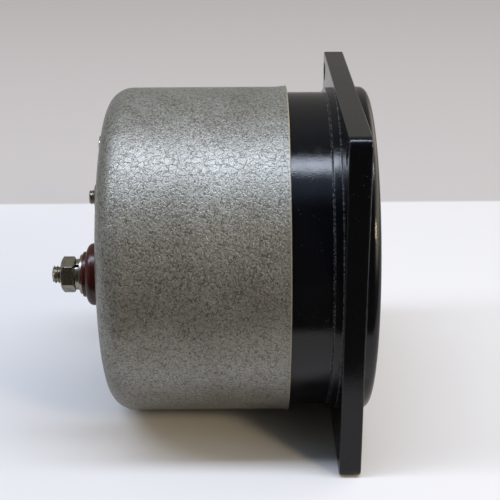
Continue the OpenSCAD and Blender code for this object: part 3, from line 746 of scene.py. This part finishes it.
@dataclass
class Housing:
    """The black moulding: flange, rim, collar, tube, and the lip with its apron."""

    shop: Workshop
    flange_w: float = 80.0 * MM
    flange_t: float = 4.9 * MM
    corner_r: float = 2.2 * MM
    edge_r: float = 0.35 * MM
    hole_at: float = 35.4 * MM
    hole_r: float = 2.25 * MM
    rim_r: float = 39.17 * MM
    rim_edge: float = 1.8 * MM
    collar_r: float = 39.0 * MM
    collar_h: float = 2.0 * MM
    tube_r: float = 37.9 * MM
    tube_edge: float = 0.3 * MM
    tube_root: float = 0.5 * MM
    cavity_r: float = 35.7 * MM
    seam_r: float = 36.2 * MM
    lip_t: float = 2.2 * MM
    window_r: float = 33.5 * MM
    window_edge: float = 0.8 * MM
    apron_z: float = -7.0 * MM
    corrector_z: float = -25.5 * MM
    corrector_hole: float = 2.55 * MM

    def build(self) -> None:
        """Makes the moulding as one piece."""
        low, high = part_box("housing")
        parts = [self.turned(low.y, high.y), self.flange(), self.lip(low.y)]
        self.shop.piece("housing_moulding", joined(parts), PHENOLIC, ("housing",))

    def turned(self, front: float, back: float) -> BMesh:
        """Spins the rim, collar and body tube.

        Args:
            front: the rim's front along Y.
            back: the tube's rear end.

        Returns:
            The turned part as a bmesh.
        """
        lip_back = front + self.lip_t
        mid = -self.flange_t / 2
        ring = spun([
            (self.seam_r, front), (self.rim_r, front), (self.rim_r, mid),
            (self.collar_r, mid), (self.collar_r, self.collar_h), (self.tube_r, self.collar_h),
            (self.tube_r, back), (self.cavity_r, back), (self.cavity_r, lip_back),
            (self.seam_r, lip_back)])
        round_rings(ring, [(self.rim_r, front, self.rim_edge)], CURVE_STEPS)
        round_rings(ring, [(self.collar_r, self.collar_h, self.edge_r),
                           (self.tube_r, back, self.tube_edge)])
        return ring

    def flange(self) -> BMesh:
        """Cuts the square flange with its four screw holes.

        Returns:
            The flange as a bmesh.
        """
        plate = bmesh.new()
        bmesh.ops.create_grid(plate, x_segments=1, y_segments=1, size=self.flange_w / 2,
                              matrix=ACROSS)
        bmesh.ops.bevel(plate, geom=plate.verts[:], offset=self.corner_r, affect="VERTICES",
                        segments=CURVE_STEPS, profile=0.5, material=-1)
        bmesh.ops.delete(plate, geom=plate.faces[:], context="FACES_ONLY")
        closed_loop(plate, self.tube_r - self.tube_root, ROUND)
        for x in (-self.hole_at, self.hole_at):
            for z in (-self.hole_at, self.hole_at):
                closed_loop(plate, self.hole_r, HOLE_ROUND, x, z)
        filled_slab(plate, -self.flange_t, 0)
        ease(plate, sharp_edges(plate, lambda e: all(
            radius_of(v) > self.tube_r for v in e.verts)
            and abs(e.verts[0].co.y - e.verts[1].co.y) < TOUCH), self.edge_r)
        return plate

    def lip(self, front: float) -> BMesh:
        """Cuts the front lip with its round window, straight apron and corrector hole.

        Args:
            front: the lip's front along Y.

        Returns:
            The lip as a bmesh.
        """
        window = bmesh.new()
        bmesh.ops.create_circle(window, cap_ends=True, radius=self.window_r,
                                segments=ROUND, matrix=ACROSS)
        cut_flat(window, self.apron_z, -1)
        bmesh.ops.delete(window, geom=window.faces[:], context="FACES_ONLY")
        closed_loop(window, self.seam_r, ROUND)
        closed_loop(window, self.corrector_hole, HOLE_ROUND, 0, self.corrector_z)
        filled_slab(window, front, front + self.lip_t)
        ease(window, sharp_edges(window, lambda e: all(
            radius_of(v) < self.seam_r - 0.1 * MM and abs(v.co.y - front) < TOUCH
            and abs(v.co.z - self.corrector_z) > 2 * self.corrector_hole
            for v in e.verts)), self.window_edge)
        return window


@dataclass
class Can:
    """The drawn steel cover with its flared rim, and the screws that hold it."""

    shop: Workshop
    wall: float = 0.8 * MM
    radius: float = 39.2 * MM
    edge_r: float = 5.9 * MM
    flare_len: float = 2.5 * MM
    flare_edge: float = 0.3 * MM
    slot_w: float = 0.8 * MM
    slot_d: float = 0.9 * MM
    shaft_share: float = 0.545
    head_edge: float = 0.2 * MM

    def build(self) -> None:
        """Makes the cover and its two screws."""
        low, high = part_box("can")
        flare_r = high.x
        bend = low.y + self.flare_len
        inner = self.radius - self.wall
        floor = high.y - self.wall
        shell = spun([
            (0, high.y), (self.radius, high.y), (self.radius, bend), (flare_r, low.y),
            (flare_r - self.wall, low.y), (inner, bend), (inner, floor), (0, floor)])
        round_rings(shell, [(self.radius, high.y, self.edge_r),
                            (inner, floor, self.edge_r - self.wall)], 2 * CURVE_STEPS)
        round_rings(shell, [(r, low.y, self.flare_edge) for r in (flare_r, flare_r - self.wall)])
        self.shop.piece("can_cover", shell, HAMMERTONE, ("can",))
        seat = high.y
        low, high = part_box("can_screws")
        head_r = (high.x - low.x) / 2
        for name, z, stands_for in (("can_screw_top", high.z - head_r, ("can_screws",)),
                                    ("can_screw_bottom", low.z + head_r, ())):
            screw = self.screw(head_r, high.y, seat, low.y)
            bmesh.ops.translate(screw, verts=screw.verts, vec=(0, 0, z))
            self.shop.piece(name, screw, NICKEL, stands_for)

    def screw(self, head_r: float, top: float, seat: float, tip: float) -> BMesh:
        """Makes a cheese-head screw that stands along +Y, with its slot along X.

        Args:
            head_r: the head's radius.
            top: the place of the head's top along Y.
            seat: the place of its underside.
            tip: the place of the screw's tip.

        Returns:
            The screw as a bmesh.
        """
        shaft_r = head_r * self.shaft_share
        floor = top - self.slot_d
        parts = [spun([(0, floor), (head_r, floor), (head_r, seat), (shaft_r, seat),
                       (shaft_r, tip), (0, tip)], SMALL_ROUND)]
        for sign in (-1, 1):
            cheek = bmesh.new()
            bmesh.ops.create_circle(cheek, cap_ends=True, radius=head_r,
                                    segments=SMALL_ROUND, matrix=ACROSS)
            cut_flat(cheek, sign * self.slot_w / 2, -sign)
            thicken(cheek, self.slot_d)
            bmesh.ops.translate(cheek, verts=cheek.verts, vec=(0, floor, 0))
            ease(cheek, sharp_edges(cheek, lambda e: all(
                v.co.y > floor + self.slot_d / 2 for v in e.verts)), self.head_edge)
            parts.append(cheek)
        return joined(parts)


@dataclass
class Terminal:
    """One terminal: threaded stud, stepped bush, washers and chamfered nut."""

    shop: Workshop
    side: Side
    stud_r: float = 2.0 * MM
    pitch: float = 0.7 * MM
    thread_depth: float = 0.38 * MM
    thread_shape: float = 0.8
    thread_steps: int = 8
    tip_len: float = 0.35 * MM
    tip_slope: float = 1.1
    nut_flats: float = 7.0 * MM
    nut_bore_r: float = 1.63 * MM
    nut_sink: float = 0.25 * MM
    nut_turn: float = math.radians(17)
    chamfer_start: float = 0.92
    chamfer_angle: float = math.radians(30)
    hexagon_steps: int = 96
    bore_r: float = 2.1 * MM
    step_r: float = 5.05 * MM
    step_h: float = 1.0 * MM
    bush_round: float = 1.4 * MM
    step_round: float = 0.25 * MM
    washer_edges: tuple[float, float] = (0.12 * MM, 0.05 * MM)
    spring_lift: float = 0.16 * MM
    spring_arc: float = math.radians(348)
    spring_turn: float = math.radians(242)
    spring_edge: float = 0.08 * MM
    spring_steps: int = 72
    axis: Vector = field(init=False)

    def __post_init__(self) -> None:
        """Finds the stud's axis."""
        low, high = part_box(self.node("stud"))
        self.axis = Vector(((low.x + high.x) / 2, 0, (low.z + high.z) / 2))

    def node(self, stem: str) -> str:
        """Gives the name of this side's CAD node."""
        return f"{stem}_{self.side.name.lower()}"

    def build(self) -> None:
        """Makes every piece of the terminal that shows outside the can."""
        self.stud()
        self.bush()
        self.washer()
        self.nut()
        if self.side is Side.LEFT:
            self.spring_washer()

    def place(self, node: str, mesh: BMesh, finish: Finish = NICKEL) -> None:
        """Moves a mesh to the terminal and makes it a piece.

        Args:
            node: the CAD node that it stands for.
            mesh: the bmesh, about the meter's axis.
            finish: its finish.
        """
        bmesh.ops.translate(mesh, verts=mesh.verts, vec=self.axis)
        self.shop.piece(node + "_piece", mesh, finish, (node,))

    def stud(self) -> None:
        """Cuts the stud's thread by its helix, below a hexagonal head."""
        low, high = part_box(self.node("stud"))
        tip = high.y
        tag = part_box(self.node("solder_tag"))[0].y
        rows = int((tip - tag) / self.pitch * self.thread_steps)
        step = (tip - tag) / rows
        rod = spun([(0, tag)] + [(self.stud_r, tag + step * i) for i in range(rows)]
                   + [(self.stud_r, tip), (0, tip)], HOLE_ROUND)
        for vert in rod.verts:
            size = radius_of(vert)
            if size < self.stud_r / 2:
                continue
            turn = math.atan2(vert.co.z, vert.co.x) / (2 * math.pi)
            phase = (vert.co.y / self.pitch + turn) % 1
            cut = self.thread_depth * (1 - abs(2 * phase - 1)) ** self.thread_shape
            blunt = max(0.0, self.tip_len - (tip - vert.co.y)) * self.tip_slope
            scale = (self.stud_r - max(cut, blunt)) / size
            vert.co.x *= scale
            vert.co.z *= scale
        head = self.hexagon(low.y, tag, [(0, tag), (0, low.y)])
        self.place(self.node("stud"), joined([rod, head]))

    def hexagon(self, y0: float, y1: float, middle: list[tuple[float, float]]) -> BMesh:
        """Makes a chamfered hexagon with two flats facing left and right.

        Args:
            y0: the place of its inner face along Y.
            y1: the place of its outer face.
            middle: the outline's corners at its bore, or on its axis.

        Returns:
            The hexagon as a bmesh.
        """
        half = self.nut_flats / 2
        start = half * self.chamfer_start
        # The outline goes well past the corners, so that its far side stands apart
        far = half * 1.3
        solid = spun([(start, y0), (far, y0), (far, y1), (start, y1)] + middle,
                     self.hexagon_steps)
        for vert in solid.verts:
            if radius_of(vert) < (start + far) / 2:
                continue
            turn = math.atan2(vert.co.z, vert.co.x)
            off_flat = (turn + math.pi / 6) % (math.pi / 3) - math.pi / 6
            reach = half / math.cos(off_flat)
            scale = reach / radius_of(vert)
            drop = (reach - start) * math.tan(self.chamfer_angle)
            inward = drop if vert.co.y < (y0 + y1) / 2 else -drop
            vert.co = (vert.co.x * scale, vert.co.y + inward, vert.co.z * scale)
        bmesh.ops.recalc_face_normals(solid, faces=solid.faces)
        return solid

    def bush(self) -> None:
        """Turns the stepped insulating bush."""
        low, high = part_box(self.node("outer_bush"))
        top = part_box(self.node("washer"))[0].y
        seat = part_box("can")[1].y
        flange_r = (high.x - low.x) / 2
        step = top - self.step_h
        shape = spun([(self.bore_r, seat), (flange_r, seat), (flange_r, step),
                      (self.step_r, step), (self.step_r, top), (self.bore_r, top)],
                     SMALL_ROUND)
        round_rings(shape, [(flange_r, step, self.bush_round)], CURVE_STEPS)
        round_rings(shape, [(self.step_r, top, self.step_round)])
        self.place(self.node("outer_bush"), shape, BUSH_PHENOLIC)

    def washer(self) -> None:
        """Presses the plain washer."""
        low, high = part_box(self.node("washer"))
        outer = (high.x - low.x) / 2
        ring = spun([(self.bore_r, low.y), (outer, low.y), (outer, high.y),
                     (self.bore_r, high.y)], SMALL_ROUND)
        round_rings(ring, [(outer, y, edge)
                           for y, edge in zip((high.y, low.y), self.washer_edges)])
        self.place(self.node("washer"), ring)

    def nut(self) -> None:
        """Makes the hexagonal nut."""
        low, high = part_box(self.node("nut"))
        bore, sink = self.nut_bore_r, self.nut_sink
        hexagon = self.hexagon(low.y, high.y, [
            (bore + sink, high.y), (bore, high.y - sink), (bore, low.y + sink),
            (bore + sink, low.y)])
        bmesh.ops.rotate(hexagon, verts=hexagon.verts,
                         matrix=Matrix.Rotation(self.nut_turn, 3, "Y"))
        self.place(self.node("nut"), hexagon)

    def spring_washer(self) -> None:
        """Coils the split spring washer, pressed nearly flat under the nut."""
        low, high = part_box("spring_washer")
        outer = (high.x - low.x) / 2
        top = high.y - self.spring_lift
        ring = bmesh.new()
        ring.faces.new([ring.verts.new((r, y, 0)) for r, y in (
            (self.bore_r, low.y), (outer, low.y), (outer, top), (self.bore_r, top))])
        bmesh.ops.spin(ring, geom=ring.verts[:] + ring.edges[:] + ring.faces[:],
                       axis=(0, 1, 0), angle=self.spring_arc,
                       dvec=(0, self.spring_lift / self.spring_steps, 0),
                       steps=self.spring_steps)
        bmesh.ops.remove_doubles(ring, verts=ring.verts, dist=TOUCH / 10)
        bmesh.ops.rotate(ring, verts=ring.verts,
                         matrix=Matrix.Rotation(self.spring_turn, 3, "Y"))
        bmesh.ops.recalc_face_normals(ring, faces=ring.faces)
        ease(ring, sharp_edges(ring), self.spring_edge, 2)
        self.place("spring_washer", ring)


@dataclass
class Dial:
    """The printing on the dial: scale arc, divisions and numbers."""

    shop: Workshop
    pivot_z: float = -14.0 * MM
    arc_r: float = 33.2 * MM
    arc_w: float = 0.3 * MM
    arc_steps: int = 96
    swing: float = math.radians(90)
    divisions: int = 50
    long_every: int = 10
    middle_every: int = 5
    ticks: Place = (3.0 * MM, 2.2 * MM, 1.5 * MM)
    widths: Place = (0.42 * MM, 0.3 * MM, 0.2 * MM)
    number_size: float = 4.0 * MM
    number_r: float = 38.6 * MM
    numbers: tuple[str, ...] = ("0", "20", "40", "60", "80", "100")
    ink_t: float = 0.02 * MM
    face: float = field(init=False)

    def __post_init__(self) -> None:
        """Finds the dial's face."""
        self.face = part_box("dial_plate")[0].y

    def build(self) -> None:
        """Prints the scale and the numbers."""
        self.arc()
        self.division_marks()
        for index, text in enumerate(self.numbers):
            self.number(index / (len(self.numbers) - 1), text)

    def spot(self, share: float, radius: float, y: float) -> Matrix:
        """Places something upright on the scale.

        Args:
            share: the share of full scale.
            radius: its distance from the pointer's axis.
            y: its place along Y.

        Returns:
            The matrix that puts it there.
        """
        turn = Matrix.Rotation((share - 0.5) * self.swing, 4, "Y")
        return (Matrix.Translation((0, y, self.pivot_z)) @ turn
                @ Matrix.Translation((0, 0, radius)))

    def arc(self) -> None:
        """Draws the arc of ink about the pointer's axis."""
        mesh = bmesh.new()
        ends = [mesh.verts.new(self.spot(0, self.arc_r + off, self.face).translation)
                for off in (-self.arc_w / 2, self.arc_w / 2)]
        edge = mesh.edges.new(ends)
        bmesh.ops.spin(mesh, geom=ends + [edge], cent=(0, 0, self.pivot_z), axis=(0, 1, 0),
                       angle=self.swing, steps=self.arc_steps)
        thicken(mesh, -self.ink_t)
        self.shop.piece("scale_arc", mesh, INK)

    def division_marks(self) -> None:
        """Draws the long, middle and short divisions outside the arc."""
        mesh = bmesh.new()
        foot = self.arc_r - self.arc_w / 2
        for index in range(self.divisions + 1):
            kind = (2 if index % self.middle_every else
                    1 if index % self.long_every else 0)
            length, width = self.ticks[kind], self.widths[kind]
            place = self.spot(index / self.divisions, foot + length / 2,
                              self.face - self.ink_t / 2)
            bmesh.ops.create_cube(mesh, size=1.0, matrix=place @ Matrix.Diagonal(
                (width, self.ink_t, length, 1)))
        self.shop.piece("scale_divisions", mesh, INK)

    def number(self, share: float, text: str) -> None:
        """Prints one number above its long division.

        Args:
            share: the share of full scale.
            text: the number.
        """
        curve = bpy.data.curves.new("number", "FONT")
        curve.body = text
        curve.size = self.number_size
        curve.align_x = curve.align_y = "CENTER"
        curve.extrude = self.ink_t / 2
        held = bpy.data.objects.new("number", curve)
        bpy.context.scene.collection.objects.link(held)
        bpy.context.view_layer.update()
        mesh = bmesh.new()
        mesh.from_mesh(held.evaluated_get(bpy.context.evaluated_depsgraph_get()).to_mesh())
        held.to_mesh_clear()
        bpy.data.objects.remove(held)
        bpy.data.curves.remove(curve)
        bmesh.ops.remove_doubles(mesh, verts=mesh.verts, dist=TOUCH / 10)
        place = self.spot(share, self.number_r, self.face - self.ink_t / 2)
        bmesh.ops.transform(mesh, verts=mesh.verts, matrix=place @ ACROSS)
        bmesh.ops.recalc_face_normals(mesh, faces=mesh.faces)
        self.shop.piece(f"number_{text}", mesh, INK)


@dataclass
class Studio:
    """The pale table, the light overhead, the dark side of the room and the camera."""

    floor_size: float = 3.0
    sky: str = "#c3c0bf"
    room_front: str = "#2c2823"
    room_back: str = "#8b8983"
    overhead: str = "#b4cbea"
    window: str = "#c9bfb1"
    far_end: str = "#8d897f"
    window_lift: float = 3.0
    camera_at: Place = (-0.2480, 0.01989, 0.1044)
    pitch: float = math.radians(22.94)
    roll: float = math.radians(0.36)
    lens: float = 78.75
    sensor: float = 36.0
    nearest: float = 0.01
    aim: Place = (0.0, 0.02, 0.0)

    def build(self) -> None:
        """Sets up everything that isn't the meter."""
        self.camera()
        self.floor()
        self.lamp("ceiling_lamp", at=(-0.145, 0.15, 1.0), size=(0.18, 1.8), power=12.2,
                  colour="#e4edff")
        self.lamp("warm_lamp", at=(-0.86, -0.74, 0.60), size=(0.18, 0.18), power=3.6,
                  colour="#ffe4b6")
        self.world()
        bpy.context.scene.view_settings.view_transform = "Standard"

    def camera(self) -> None:
        """Stands the camera beside the can, looking along +X and down."""
        data = bpy.data.cameras.new("camera")
        data.lens = self.lens
        data.sensor_width = self.sensor
        data.clip_start = self.nearest
        camera = bpy.data.objects.new("camera", data)
        ahead = Vector((math.cos(self.pitch), 0, -math.sin(self.pitch)))
        right = Vector((0, -1, 0))
        turn = Matrix((right, right.cross(ahead), -ahead)).transposed()
        turn = turn @ Matrix.Rotation(-self.roll, 3, "Z")
        camera.matrix_world = Matrix.Translation(self.camera_at) @ turn.to_4x4()
        bpy.context.scene.collection.objects.link(camera)
        bpy.context.scene.camera = camera

    def floor(self) -> None:
        """Lays the table under the meter."""
        mesh = bmesh.new()
        bmesh.ops.create_grid(mesh, x_segments=1, y_segments=1, size=self.floor_size / 2,
                              matrix=Matrix.Translation((0, 0, CAD_BOX[0][2])))
        data = bpy.data.meshes.new("table")
        mesh.to_mesh(data)
        mesh.free()
        data.materials.append(TABLE.build())
        table = bpy.data.objects.new("table", data)
        bpy.context.scene.collection.objects.link(table)

    def lamp(self, name: str, at: Place, size: tuple[float, float], power: float,
             colour: str) -> None:
        """Hangs one soft lamp and aims it at the meter.

        Args:
            name: the lamp's name.
            at: its place.
            size: its width, and its length along Y.
            power: its power in watts.
            colour: its colour.
        """
        data = bpy.data.lights.new(name, "AREA")
        data.shape = "RECTANGLE"
        data.size, data.size_y = size
        data.energy = power
        data.color = srgb(colour)[:3]
        lamp = bpy.data.objects.new(name, data)
        back = (Vector(at) - Vector(self.aim)).normalized()
        side = Vector((0, 1, 0)).cross(back).normalized()
        turn = Matrix((side, back.cross(side), back)).transposed()
        lamp.matrix_world = Matrix.Translation(at) @ turn.to_4x4()
        bpy.context.scene.collection.objects.link(lamp)

    def world(self) -> None:
        """Fills the room: pale behind the meter and overhead, dark in front of it."""
        world = bpy.data.worlds.new("room")
        world.use_nodes = True
        tree = world.node_tree
        tree.nodes.clear()
        ways = add(tree, "SeparateXYZ", (add(tree, "TexCoord").outputs["Generated"],))
        x, y, z = ways.outputs
        up = add(tree, "Math", (add(tree, "MapRange", (z, 0.80, 0.97)),
                                add(tree, "MapRange", (x, 0.0, -0.2))), operation="MULTIPLY")
        ahead = add(tree, "MapRange", (y, -0.3, -0.7))
        seen = add(tree, "LightPath").outputs["Is Camera Ray"]
        shade = self.room_front
        for amount, colour in ((add(tree, "MapRange", (x, -0.3, 0.5)), self.room_back),
                               (up, self.overhead), (ahead, self.window),
                               (add(tree, "MapRange", (y, 0.35, 0.8)), self.far_end),
                               (seen, self.sky)):
            shade = add(tree, "Mix", (amount, shade, colour), data_type="RGBA")
        lift = ahead
        for share in (add(tree, "Math", (1.0, seen), operation="SUBTRACT"),
                      add(tree, "MapRange", (z, 0.05, 0.2)),
                      add(tree, "MapRange", (z, 0.75, 0.5))):
            lift = add(tree, "Math", (lift, share), operation="MULTIPLY")
        strength = add(tree, "Math", (lift, self.window_lift, 1.0), operation="MULTIPLY_ADD")
        light = add(tree, "Background", {"Color": shade, "Strength": strength})
        add(tree, "OutputWorld", {"Surface": light})
        bpy.context.scene.world = world


def main() -> None:
    """Builds the meter's finishes and pieces, and the studio round it."""
    Studio().build()
    shop = Workshop()
    shop.dress_cad(frame["nodes"])
    Housing(shop).build()
    Can(shop).build()
    for side in Side:
        Terminal(shop, side).build()
    Dial(shop).build()


if __name__ == "__main__":
    main()
